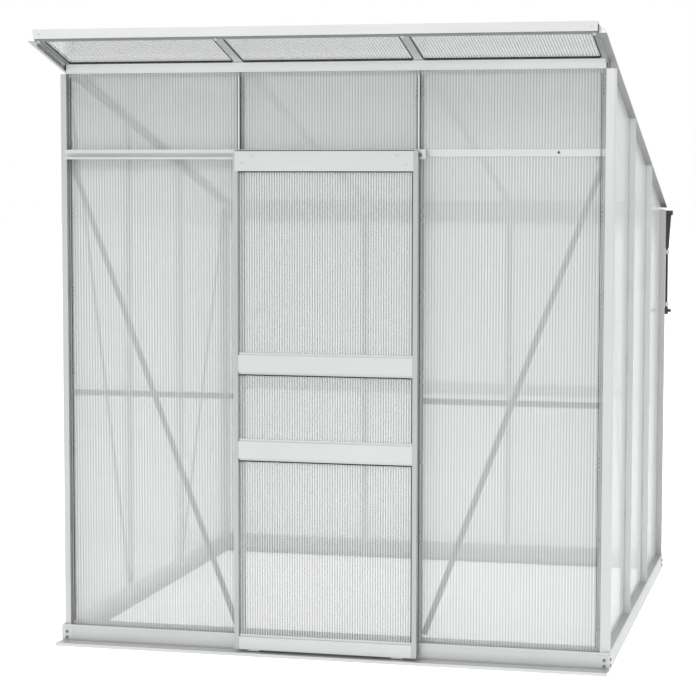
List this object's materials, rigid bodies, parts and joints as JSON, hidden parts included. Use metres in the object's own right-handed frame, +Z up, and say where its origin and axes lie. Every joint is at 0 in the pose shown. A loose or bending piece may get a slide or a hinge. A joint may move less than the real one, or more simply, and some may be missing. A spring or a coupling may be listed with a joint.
{
  "type": "lean-to greenhouse",
  "caption": "Pent-roof greenhouse with an aluminium frame, ribbed translucent panels, a sliding front door and a rear gutter with a hanging drain hose.",
  "frame": {"origin": "centre of the square footprint, on the floor; also the centre of the anchor-hole pattern", "axes": "+X to the right seen from the door, +Y from the door wall to the low rear wall, +Z up"},
  "size_m": [1.9457, 2.259, 2.114],
  "materials": {
    "aluminium": "satin mill",
    "panel": "translucent, ribbed",
    "bright_steel": "bright",
    "black_plastic": "matt",
    "grey_plastic": "matt",
    "nylon": "smooth",
    "hose_rubber": "matt"
  },
  "bodies": {
    "frame": {"base_corner_bolts": "bright_steel", "base_corner_plates": "aluminium", "base_front": "aluminium", "base_left": "aluminium", "base_rear": "aluminium", "base_right": "aluminium", "corner_post_front_left": "aluminium", "corner_post_front_right": "aluminium", "corner_post_rear_left": "aluminium", "corner_post_rear_right": "aluminium", "door_sill": "aluminium", "door_track": "aluminium", "drain_hose": "hose_rubber", "front_bar_left": "aluminium", "front_bar_right": "aluminium", "front_braces": "aluminium", "front_mid_rails": "aluminium", "front_panel_left": "panel", "front_panel_right": "panel", "front_upper_panels": "panel", "gable_bar_left": "aluminium", "gable_bar_right": "aluminium", "gusset_plates": "aluminium", "gutter_end_cap": "grey_plastic", "gutter_outlet": "black_plastic", "head_rails": "aluminium", "hose_clamps": "bright_steel", "hose_elbow": "black_plastic", "rear_bars": "aluminium", "rear_eave_gutter": "aluminium", "rear_mid_rail": "aluminium", "rear_panels": "panel", "roof_bar_left": "aluminium", "roof_bar_right": "aluminium", "roof_fascia": "aluminium", "roof_panels": "panel", "side_bar_left_front": "aluminium", "side_bar_left_rear": "aluminium", "side_bar_right_front": "aluminium", "side_bar_right_rear": "aluminium", "side_braces_left": "aluminium", "side_braces_right": "aluminium", "side_panels_left": "panel", "side_panels_right": "panel", "top_rail": "aluminium", "track_stop": "grey_plastic", "wire_clips": "bright_steel"},
    "door": {"door_stile_left": "aluminium", "door_stile_right": "aluminium", "door_head": "aluminium", "door_rail_lower": "aluminium", "door_rail_upper": "aluminium", "door_bottom_rail": "aluminium", "door_panel_lower": "panel", "door_panel_middle": "panel", "door_panel_upper": "panel", "door_axles": "bright_steel", "door_guides": "nylon"},
    "wheel_left": {"door_wheel_left": "nylon"},
    "wheel_right": {"door_wheel_right": "nylon"}
  },
  "joints": [
    {"name": "door_slide", "type": "slide", "parent": "frame", "child": "door", "axis": [-1, 0, 0], "range_m": [0, 0.6]},
    {"name": "wheel_left_spin", "type": "hinge", "parent": "door", "child": "wheel_left", "pos_m": [-0.2545, -0.968, 1.7014], "axis": [0, 1, 0], "continuous": true},
    {"name": "wheel_right_spin", "type": "hinge", "parent": "door", "child": "wheel_right", "pos_m": [0.2435, -0.968, 1.7014], "axis": [0, 1, 0], "continuous": true}
  ],
  "couplings": [
    {"joint": "wheel_left_spin", "follows": "door_slide", "rad_per_m": -95.238},
    {"joint": "wheel_right_spin", "follows": "door_slide", "rad_per_m": -95.238}
  ]
}
